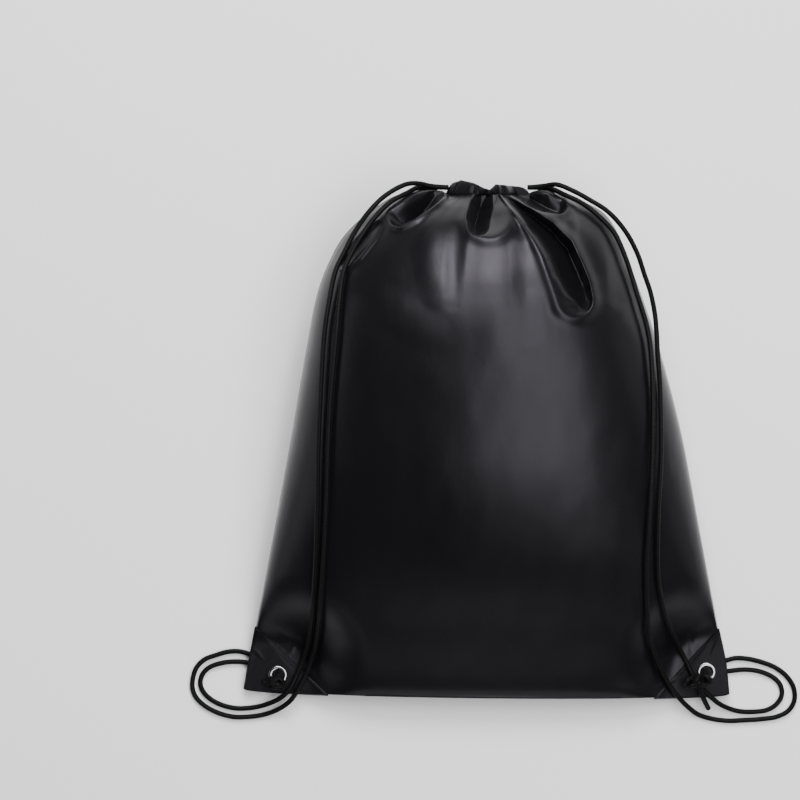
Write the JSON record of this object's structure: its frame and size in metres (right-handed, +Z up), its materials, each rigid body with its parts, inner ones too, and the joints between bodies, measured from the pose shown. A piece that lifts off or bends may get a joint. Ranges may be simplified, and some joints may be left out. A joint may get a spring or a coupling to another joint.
{
  "type": "motorcycle helmet bag",
  "caption": "Soft drawstring carry bag for a helmet, lying on its back, with a gathered mouth, corner patches with metal eyelets and paired shoulder cords",
  "frame": {"origin": "on the floor under the middle of the bag, which lies on its back panel", "axes": "+Y from the bottom seam to the gathered mouth, +X across the bag, +Z up out of the front panel"},
  "size_m": [0.527, 0.4711, 0.1421],
  "materials": {
    "satin": "satin",
    "patch_satin": "satin",
    "braid": "braided",
    "nickel": "polished"
  },
  "bodies": {
    "root": {"front_panel": "satin", "back_panel": "satin", "drawstring_casing": "satin", "left_corner_patch": "patch_satin", "right_corner_patch": "patch_satin", "left_eyelet": "nickel", "right_eyelet": "nickel", "left_cord_a": "braid", "left_cord_b": "braid", "right_cord_a": "braid", "right_cord_b": "braid", "left_knot": "braid", "right_knot": "braid"}
  },
  "joints": []
}
